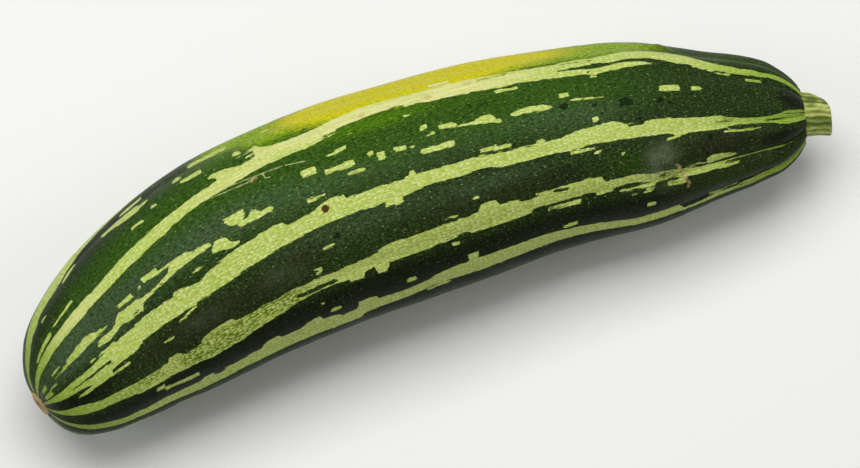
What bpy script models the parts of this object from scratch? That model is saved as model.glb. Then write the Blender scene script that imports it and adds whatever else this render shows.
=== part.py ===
"""A striped zucchini, lying as picked: the bent, ribbed fruit, the stub of its cut stem and the
corky scar that the blossom left. Metres, +Z up, resting on z = 0. Seen from above the fruit's
chord runs along +X from the blossom end to the stem, and it bends out towards +Y.
"""

import bisect
import math

import bmesh
import bpy
from mathutils import Vector

MM = 0.001

# The fruit: where it starts and ends along the chord, and how it rests. Distances along the chord
# count from a point just beyond the blossom scar
FRUIT_START = 2 * MM
FRUIT_END = 270.8 * MM
END_HEIGHT = 32 * MM  # the axis stands no lower than this at the thinner ends
HEIGHT_BLEND = 1.5 * MM  # rounds the change between belly and ends
FLAT_DEPTH = 0.9 * MM  # how much of the belly the resting flat takes off
BLOSSOM_LIFT = 5 * MM  # the blossom end turns up by this much
BLOSSOM_LIFT_LENGTH = 48 * MM

# The axis seen from above: (distance along the chord, bend off it) in mm
AXIS_PLAN = ((0, -1.4), (10, 2), (25, 8.2), (40, 13.9), (57, 18.3), (76, 21.8), (95, 23.4),
             (115, 24), (135, 23.2), (155, 22.3), (175, 21.2), (194, 18.8), (213, 15.3),
             (233, 10.8), (252, 6.3), (262, 3.6), (272, 1.3))

# Mean radius without the blossom end's dome: (distance along the chord, radius) in mm
BODY_RADIUS = ((0, 36.6), (60, 36.8), (100, 36.3), (125, 36.2), (145, 35.8), (160, 35.2),
               (175, 34.1), (194, 32.6), (204, 32), (213, 31.4), (223, 29.8), (233, 27),
               (242, 24.3), (251, 22), (257, 20), (262, 17.9), (266, 15), (269, 12), (271, 9.2))
DOME_LENGTH = 114 * MM
DOME_POWERS = (2.1, 3.1)  # both 2 is an ellipse, and a larger second one blunts the tip

# Ribs: the creases between them, in degrees from straight up towards +Y, and their heights as
# (distance along the chord, height) in mm
RIB_CREASES = (-162, -132, -102, -72, -42, -12, 30, 60, 96, 132, 162)
RIB_HEIGHTS = ((0, 0.2), (40, 0.7), (200, 0.8), (250, 1.5), (272, 1.7))
RIB_MEAN = 2 / math.pi  # mean height of a rib whose crest is 1 high
RIBLESS_RADIUS = 8.3 * MM  # no ribs within this radius of the axis, where the seats are
RIB_FADE = 1.2 * MM

# The flat seats that hold the stem and the scar, and the gap left round both
SEAT_GAP = 0.3 * MM
STEM_SEAT_DEPTH = 2 * MM
SCAR_SEAT_DEPTH = 1 * MM

# The stem stub. Its profile is (share of the length, share of the radius), from foot to cut
STEM_RADIUS = 7.1 * MM
STEM_LENGTH = 10.8 * MM
STEM_BEND = 1.2 * MM  # how far its tip leans towards -Y
STEM_PROFILE = ((0, 0), (0, 1.04), (0.3, 1.02), (0.5, 1), (0.92, 1), (1, 0.89), (1, 0))
STEM_RIDGES = 5
STEM_RIDGE_HEIGHT = 0.5 * MM

# The blossom scar, a button whose rim stands round a hollow. Its profile is (share of the
# thickness, share of the radius), from the foot to the middle
SCAR_RADIUS = 4.2 * MM
SCAR_THICKNESS = 2.1 * MM
SCAR_PROFILE = ((0, 0), (0, 1), (0.6, 1), (0.9, 0.88), (1, 0.7), (0.85, 0.4), (0.75, 0))
SCAR_LOBES = 5
SCAR_LOBE_HEIGHT = 0.25 * MM

# Mesh fineness
FRUIT_SIDES = 60
FRUIT_RINGS = 44
STEM_SIDES = 40
SCAR_SIDES = 30

SKIN_COLOUR = (0.028, 0.085, 0.022, 1)
STEM_COLOUR = (0.24, 0.36, 0.085, 1)
SCAR_COLOUR = (0.42, 0.27, 0.13, 1)


def smooth_through(points, x):
    """Height at x of a smooth line through (x, height) points, all in mm and given back in m."""
    index = next((i for i in range(len(points) - 2) if x <= points[i + 1][0]), len(points) - 2)
    (x0, y0), (x1, y1) = points[index], points[index + 1]
    before = points[max(index - 1, 0)]
    after = points[min(index + 2, len(points) - 1)]
    slope0 = (y1 - before[1]) / (x1 - before[0])
    slope1 = (after[1] - y0) / (after[0] - x0)
    t = min(max((x - x0) / (x1 - x0), 0), 1)
    ends = (2 * t ** 3 - 3 * t ** 2 + 1) * y0 + (3 * t ** 2 - 2 * t ** 3) * y1
    slopes = (t ** 3 - 2 * t ** 2 + t) * slope0 + (t ** 3 - t ** 2) * slope1
    return (ends + (x1 - x0) * slopes) * MM


def body_radius(along):
    """The fruit's mean radius at a distance along the chord, with the blossom end's dome."""
    share = min(max((along - FRUIT_START) / DOME_LENGTH, 0), 1)
    dome = (1 - (1 - share) ** DOME_POWERS[0]) ** (1 / DOME_POWERS[1])
    return smooth_through(BODY_RADIUS, along / MM) * dome


def axis_point(along):
    """A point on the axis. It stands as high as the belly's radius, and END_HEIGHT beyond it."""
    excess = body_radius(along) - END_HEIGHT
    resting = END_HEIGHT + (excess + math.hypot(excess, HEIGHT_BLEND)) / 2 - FLAT_DEPTH
    turned_up = max(1 - along / BLOSSOM_LIFT_LENGTH, 0)
    height = resting + BLOSSOM_LIFT * turned_up ** 2
    return Vector((along, smooth_through(AXIS_PLAN, along / MM), height))


def section_frame(along):
    """Centre, forward, up and sideways (towards +Y) of the cross-section at a distance."""
    step = 0.5 * MM
    inside = min(max(along, FRUIT_START + step), FRUIT_END - step)
    forward = (axis_point(inside + step) - axis_point(inside - step)).normalized()
    sideways = Vector((-forward.y, forward.x, 0)).normalized()
    end = min(max(along, FRUIT_START), FRUIT_END)
    centre = axis_point(end) + forward * (along - end)
    return centre, forward, forward.cross(sideways), sideways


def rib_height(angle):
    """Height of the ribs at an angle: 1 on a crest and 0 in a crease."""
    creases = [crease - RIB_CREASES[0] for crease in RIB_CREASES] + [360]
    turned = (math.degrees(angle) - RIB_CREASES[0]) % 360
    rib = bisect.bisect_right(creases, turned)
    share = (turned - creases[rib - 1]) / (creases[rib] - creases[rib - 1])
    return math.sin(math.pi * share)


def skin_point(along, radius, angle):
    """A point of the fruit's surface. The angle runs from straight up towards +Y."""
    centre, _, up, sideways = section_frame(along)
    relief = smooth_through(RIB_HEIGHTS, along / MM) * (rib_height(angle) - RIB_MEAN)
    ribbed = radius + relief * min(max((radius - RIBLESS_RADIUS) / RIB_FADE, 0), 1)
    point = centre + ribbed * (math.cos(angle) * up + math.sin(angle) * sideways)
    point.z = max(point.z, 0)
    return point


def fruit_outline():
    """(distance along, radius) of each ring of the fruit, from the scar's seat to the stem's."""
    scar_seat = SCAR_RADIUS + SCAR_LOBE_HEIGHT + SEAT_GAP
    stem_foot = STEM_RADIUS * max(share for _, share in STEM_PROFILE)
    stem_seat = stem_foot + STEM_RIDGE_HEIGHT + SEAT_GAP
    outline = [(FRUIT_START + SCAR_SEAT_DEPTH, 0), (FRUIT_START + SCAR_SEAT_DEPTH, scar_seat)]
    for ring in range(FRUIT_RINGS + 1):
        share = 0.5 - 0.5 * math.cos(math.pi * ring / FRUIT_RINGS)
        along = FRUIT_START + (FRUIT_END - FRUIT_START) * share
        outline.append((along, max(body_radius(along), scar_seat)))
    outline.append((FRUIT_END - STEM_SEAT_DEPTH, stem_seat))
    outline.append((FRUIT_END - STEM_SEAT_DEPTH, 0))
    return outline


def wrapped_solid(name, rings, sides, place, colour, roughness):
    """A closed object: a grid with a column for each ring, wrapped round and put in place."""
    mesh = bmesh.new()
    bmesh.ops.create_grid(mesh, x_segments=rings - 1, y_segments=sides, size=1)
    for vertex in mesh.verts:
        ring = round((vertex.co.x + 1) / 2 * (rings - 1))
        angle = (vertex.co.y + 1) * math.pi
        vertex.co = place(ring, angle)
    bmesh.ops.remove_doubles(mesh, verts=mesh.verts, dist=0.01 * MM)
    bmesh.ops.recalc_face_normals(mesh, faces=mesh.faces)
    data = bpy.data.meshes.new(name)
    mesh.to_mesh(data)
    mesh.free()
    data.shade_smooth()
    data.set_sharp_from_angle(angle=math.radians(50))
    data.materials.append(plain_material(name, colour, roughness))
    solid = bpy.data.objects.new(name, data)
    bpy.context.scene.collection.objects.link(solid)
    return solid


def plain_material(name, colour, roughness):
    material = bpy.data.materials.new(name)
    material.use_nodes = True
    shader = material.node_tree.nodes["Principled BSDF"]
    shader.inputs["Base Color"].default_value = colour
    shader.inputs["Roughness"].default_value = roughness
    shader.inputs["Metallic"].default_value = 0
    return material


def make_fruit():
    outline = fruit_outline()

    def place(ring, angle):
        return skin_point(*outline[ring], angle)

    return wrapped_solid("fruit", len(outline), FRUIT_SIDES, place, SKIN_COLOUR, 0.35)


def make_stem():
    """The stub stands in its seat, flared at the foot, with five ridges and a bevelled cut."""
    centre, forward, up, sideways = section_frame(FRUIT_END - STEM_SEAT_DEPTH + SEAT_GAP)

    def place(ring, angle):
        height, share = STEM_PROFILE[ring]
        ridge = STEM_RIDGE_HEIGHT * math.cos(STEM_RIDGES * angle) * min(share, 1)
        outward = math.cos(angle) * up + math.sin(angle) * sideways
        middle = centre + forward * height * STEM_LENGTH - sideways * height ** 2 * STEM_BEND
        return middle + outward * (share * STEM_RADIUS + ridge)

    return wrapped_solid("stem", len(STEM_PROFILE), STEM_SIDES, place, STEM_COLOUR, 0.6)


def make_scar():
    """A corky button with five faint lobes, which faces out of the blossom end."""
    centre, forward, up, sideways = section_frame(FRUIT_START + SCAR_SEAT_DEPTH - SEAT_GAP)

    def place(ring, angle):
        height, share = SCAR_PROFILE[ring]
        lobe = SCAR_LOBE_HEIGHT * math.cos(SCAR_LOBES * angle) * share
        outward = math.cos(angle) * up + math.sin(angle) * sideways
        return centre - forward * height * SCAR_THICKNESS + outward * (share * SCAR_RADIUS + lobe)

    return wrapped_solid("blossom_scar", len(SCAR_PROFILE), SCAR_SIDES, place, SCAR_COLOUR, 0.8)


def stand_on_origin(pieces):
    """Hangs the pieces on one empty, placed so that their box stands centred on the origin."""
    corners = [vertex.co for piece in pieces for vertex in piece.data.vertices]
    holder = bpy.data.objects.new("zucchini", None)
    bpy.context.scene.collection.objects.link(holder)
    for axis in (0, 1):
        values = [corner[axis] for corner in corners]
        holder.location[axis] = -(min(values) + max(values)) / 2
    for piece in pieces:
        piece.parent = holder


def main():
    for old in list(bpy.data.objects):
        bpy.data.objects.remove(old)
    stand_on_origin([make_fruit(), make_stem(), make_scar()])


main()
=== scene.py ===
import math
import random
from bisect import bisect_right

import bmesh
import bpy
from mathutils import Matrix, Vector, noise


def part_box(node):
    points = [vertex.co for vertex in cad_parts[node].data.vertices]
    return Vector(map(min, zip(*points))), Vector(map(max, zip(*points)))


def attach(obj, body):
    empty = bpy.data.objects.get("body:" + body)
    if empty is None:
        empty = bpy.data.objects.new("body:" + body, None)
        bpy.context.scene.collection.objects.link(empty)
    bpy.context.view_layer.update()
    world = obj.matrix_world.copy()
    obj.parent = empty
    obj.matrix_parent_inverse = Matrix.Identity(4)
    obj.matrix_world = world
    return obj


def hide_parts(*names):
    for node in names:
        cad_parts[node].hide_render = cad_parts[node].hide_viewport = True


# Places on the fruit are a station, in mm along its chord from the blossom end, and an angle, in
# degrees from straight up towards +Y. Shapes are worked out in mm and scaled to metres.

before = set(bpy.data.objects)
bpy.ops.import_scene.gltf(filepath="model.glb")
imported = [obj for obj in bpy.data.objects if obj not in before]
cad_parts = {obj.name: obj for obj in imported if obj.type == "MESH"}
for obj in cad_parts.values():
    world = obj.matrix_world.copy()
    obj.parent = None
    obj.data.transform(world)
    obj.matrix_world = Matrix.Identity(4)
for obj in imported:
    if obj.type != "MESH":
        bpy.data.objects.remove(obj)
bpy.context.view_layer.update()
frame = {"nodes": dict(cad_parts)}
print("frame loaded:", ", ".join(frame["nodes"]))

mm = 0.001
seamDistance = 0.01  # mm within which the vertices of a seam or a pole are merged
sharpestCrease = 60  # degrees past which an edge is shaded sharp


# Curves and grids


def smoothThrough(points, x):
    # height at x of a smooth line through (x, height) points
    index = next((i for i in range(len(points) - 2) if x <= points[i + 1][0]), len(points) - 2)
    (x0, y0), (x1, y1) = points[index], points[index + 1]
    before = points[max(index - 1, 0)]
    after = points[min(index + 2, len(points) - 1)]
    slope0 = (y1 - before[1]) / (x1 - before[0])
    slope1 = (after[1] - y0) / (after[0] - x0)
    t = min(max((x - x0) / (x1 - x0), 0), 1)
    ends = (2 * t ** 3 - 3 * t ** 2 + 1) * y0 + (3 * t ** 2 - 2 * t ** 3) * y1
    slopes = (t ** 3 - 2 * t ** 2 + t) * slope0 + (t ** 3 - t ** 2) * slope1
    return ends + (x1 - x0) * slopes


def smoothStep(low, high, x):
    t = min(max((x - low) / (high - low), 0), 1)
    return t * t * (3 - 2 * t)


def roundTo180(angle):
    return (angle + 180) % 360 - 180


def wrappedGrid(ringCount, sides):
    # a grid whose columns become rings and whose rows become sides
    mesh = bmesh.new()
    mesh.loops.layers.uv.new("skinMap")
    bmesh.ops.create_grid(mesh, x_segments=ringCount - 1, y_segments=sides, size=1, calc_uvs=True)
    return mesh


def ringAndAngle(vertex, ringCount):
    ring = round((vertex.co.x + 1) / 2 * (ringCount - 1))
    return ring, vertex.co.y * 180


def inScene(name, data):
    thing = bpy.data.objects.new(name, data)
    bpy.context.scene.collection.objects.link(thing)
    return thing


def asObject(mesh, name, material):
    data = bpy.data.meshes.new(name)
    mesh.to_mesh(data)
    mesh.free()
    data.materials.append(material)
    return inScene(name, data)


def closeUp(mesh, name, material):
    # puts the wrapped grid in the frame, closes its seam and poles, and makes it an object
    bmesh.ops.scale(mesh, vec=(mm, mm, mm), verts=mesh.verts)
    bmesh.ops.translate(mesh, vec=toFrame, verts=mesh.verts)
    bmesh.ops.remove_doubles(mesh, verts=mesh.verts, dist=seamDistance * mm)
    bmesh.ops.recalc_face_normals(mesh, faces=mesh.faces)
    piece = asObject(mesh, name, material)
    piece.data.shade_smooth()
    piece.data.set_sharp_from_angle(angle=math.radians(sharpestCrease))
    return piece


# Material nodes


def addNode(tree, kind, inputs, **settings):
    node = tree.nodes.new(kind)
    for name, value in settings.items():
        setattr(node, name, value)
    for socket, value in inputs.items():
        if isinstance(value, bpy.types.NodeSocket):
            tree.links.new(value, node.inputs[socket])
        else:
            node.inputs[socket].default_value = value
    return node


def calc(tree, operation, a, b=0.0, clamp=False):
    node = addNode(tree, "ShaderNodeMath", {0: a, 1: b}, operation=operation, use_clamp=clamp)
    return node.outputs[0]


def times(tree, a, b, clamp=False):
    return calc(tree, "MULTIPLY", a, b, clamp)


def vectorCalc(tree, operation, a, b):
    node = addNode(tree, "ShaderNodeVectorMath", {0: a, 1: b}, operation=operation)
    return node.outputs["Value" if operation in ("DOT_PRODUCT", "DISTANCE") else "Vector"]


def between(tree, value, low, high, outLow=0.0, outHigh=1.0):
    inputs = {"Value": value, "From Min": low, "From Max": high, "To Min": outLow, "To Max": outHigh}
    return addNode(tree, "ShaderNodeMapRange", inputs, interpolation_type="SMOOTHSTEP").outputs[0]


def spread(tree, pattern, low, high):
    # a noise, which mostly keeps to 0.3 to 0.7, from low to high
    return between(tree, pattern, 0.3, 0.7, low, high)


def nudged(tree, value, by, reach):
    # a value moved up and down by a 0 to 1 pattern
    return calc(tree, "ADD", value, times(tree, calc(tree, "SUBTRACT", by, 0.5), reach))


def blendColour(tree, factor, first, second, blend="MIX"):
    node = addNode(tree, "ShaderNodeMix", {}, data_type="RGBA", blend_type=blend, clamp_factor=True)
    for socket, value in ((0, factor), (6, first), (7, second)):
        if isinstance(value, bpy.types.NodeSocket):
            tree.links.new(value, node.inputs[socket])
        elif socket == 0:
            node.inputs[socket].default_value = value
        else:
            node.inputs[socket].default_value = (*value, 1)
    return node.outputs[2]


def colourRamp(tree, factor, stops):
    node = addNode(tree, "ShaderNodeValToRGB", {"Fac": factor})
    ramp = node.color_ramp
    for element, (position, colour) in zip(ramp.elements, (stops[0], stops[-1])):
        element.position = position
        element.color = (*colour, 1)
    for position, colour in stops[1:-1]:
        ramp.elements.new(position).color = (*colour, 1)
    return node.outputs[0]


def painted(tree, name):
    return addNode(tree, "ShaderNodeAttribute", {}, attribute_name=name).outputs["Fac"]


def objectPlace(tree):
    return addNode(tree, "ShaderNodeTexCoord", {}).outputs["Object"]


def flatPlace(tree, length, around):
    # the piece's own map as mm along it and mm round it
    flat = addNode(tree, "ShaderNodeUVMap", {}, uv_map="skinMap").outputs[0]
    return scaled(tree, flat, (length, around, 1))


def scaled(tree, vector, scale):
    return addNode(tree, "ShaderNodeMapping", {"Vector": vector, "Scale": scale}).outputs[0]


def noiseAt(tree, vector, size, detail=3.0, roughness=0.55):
    inputs = {"Vector": vector, "Scale": 1 / size, "Detail": detail, "Roughness": roughness}
    return addNode(tree, "ShaderNodeTexNoise", inputs).outputs["Fac"]


def flatNoise(tree, flat, length, width, detail=3.0, roughness=0.55):
    return noiseAt(tree, scaled(tree, flat, (1 / length, 1 / width, 1)), 1, detail, roughness)


def flatCells(tree, flat, length, width, randomness=1.0, distance="EUCLIDEAN"):
    # how far from the nearest cell's middle, and that cell's own random number
    inputs = {"Vector": scaled(tree, flat, (1 / length, 1 / width, 1)), "Randomness": randomness}
    inputs["Scale"] = 1
    cells = addNode(tree, "ShaderNodeTexVoronoi", inputs, voronoi_dimensions="2D", distance=distance)
    chance = addNode(tree, "ShaderNodeSeparateColor", {0: cells.outputs["Color"]}).outputs[0]
    return cells.outputs["Distance"], chance


def newMaterial(name):
    material = bpy.data.materials.new(name)
    material.use_nodes = True
    tree = material.node_tree
    return material, tree, tree.nodes["Principled BSDF"]


def dress(tree, shader, colour, rough, relief, bump):
    # gives the shader its colour, its roughness and a bump of some strength and distance
    strength, distance = bump
    node = addNode(tree, "ShaderNodeBump", {"Height": relief, "Strength": strength, "Distance": distance})
    for socket, value in (("Base Color", colour), ("Roughness", rough), ("Normal", node.outputs[0])):
        tree.links.new(value, shader.inputs[socket])


# Fruit

fruit = {
    "start": 2,
    "end": 270.8,
    "rings": 440,
    "sides": 212,
    "crowding": 20,  # degrees by which the sides crowd towards the top
    # (station, bend off the chord)
    "axisPlan": ((0, -1.4), (10, 2), (25, 8.2), (40, 13.9), (57, 18.3), (76, 21.8), (95, 23.4),
                 (115, 24), (135, 23.2), (155, 22.3), (175, 21.2), (194, 18.8), (213, 15.3),
                 (233, 10.8), (252, 6.3), (262, 3.6), (272, 1.3)),
    # (station, mean radius), before the blossom end's dome is taken off
    "bodyRadius": ((0, 36.6), (60, 36.8), (100, 36.3), (125, 36.2), (145, 35.8), (160, 35.2),
                   (175, 34.1), (194, 32.6), (204, 32), (213, 31.4), (223, 29.8), (233, 27),
                   (242, 24.3), (251, 22), (257, 20), (262, 17.9), (266, 15), (269, 12), (271, 9.2)),
    "domeLength": 114,
    "domePowers": (2.1, 3.1),  # inner and outer, 2 and 2 for a round dome
    "endHeight": 32,  # where the axis stays once the fruit is thinner than that
    "heightBlend": 1.5,
    "flatDepth": 0.9,  # how much of the belly the flat takes off
    "blossomLift": 5,
    "blossomLiftLength": 48,
    "creases": (-162, -132, -102, -72, -42, -12, 30, 60, 96, 132, 162),
    "ribHeights": ((0, 0.2), (40, 0.7), (200, 0.8), (250, 1.5), (272, 1.7)),
    "riblessRadius": 8.3,  # where the relief has faded out, by the two seats
    "ribFade": 1.2,
    "scarSeat": (1, 4.75),  # depth and radius
    "stemSeat": (2, 8.18),
    "endSpacing": 0.5,  # 0 spaces the rings evenly, and 1 crowds them at the two ends
    "lumps": ((22, 0.28), (7, 0.07), (2.6, 0.035)),  # (size of a lump, height)
    "mmPerDegree": 0.6,
}

# Creases of the neck, cut deeper than the ribs': (angle, station where it starts, depth, half width)
neckGrooves = (
    (-44, 236, 0.8, 1.2),
    (-14.5, 244, 0.9, 1.1),
    (-72, 240, 0.7, 1.3),
    (29, 240, 0.6, 1.1),
    (60, 240, 0.5, 1.3),
)

# Warts, dents and scratches: (station, angle, half length, half width, height) in mm
marks = (
    (227, 66, 4.5, 2.6, 1.1),
    (230, 62, 2.5, 1.6, 0.5),
    (110.5, -21, 1.3, 1.1, -0.45),
    (110.3, -5.6, 1.2, 1.1, 0.25),
    (237.8, -20, 1.0, 2.4, -0.6),
    (164, -27, 2.2, 1.2, -0.3),
    (152, -24, 1.8, 1.0, -0.25),
    (172, -25, 2.6, 1.2, -0.25),
    (93.5, 25, 8, 0.8, 0.22),
    (99, 26, 6, 0.7, 0.2),
    (228, -44, 2.0, 4.5, 0.3),
    (226.4, -37, 1.4, 2.6, 0.22),
    (211.5, 9.5, 2.8, 2.2, -0.35),
    (222.5, 9, 1.8, 1.3, -0.25),
    (191, 12, 1.8, 1.6, -0.25),
    (264, 14, 1.1, 1.2, 0.3),
)

# Small pits on the brown band below the middle stripe, from seeded draws
pits = {
    "count": 90,
    "stations": (56, 206),
    "angles": (-34, -15),
    "halfSize": (0.7, 1.5),
    "depth": (0.12, 0.36),
    "seed": 4,
}

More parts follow.
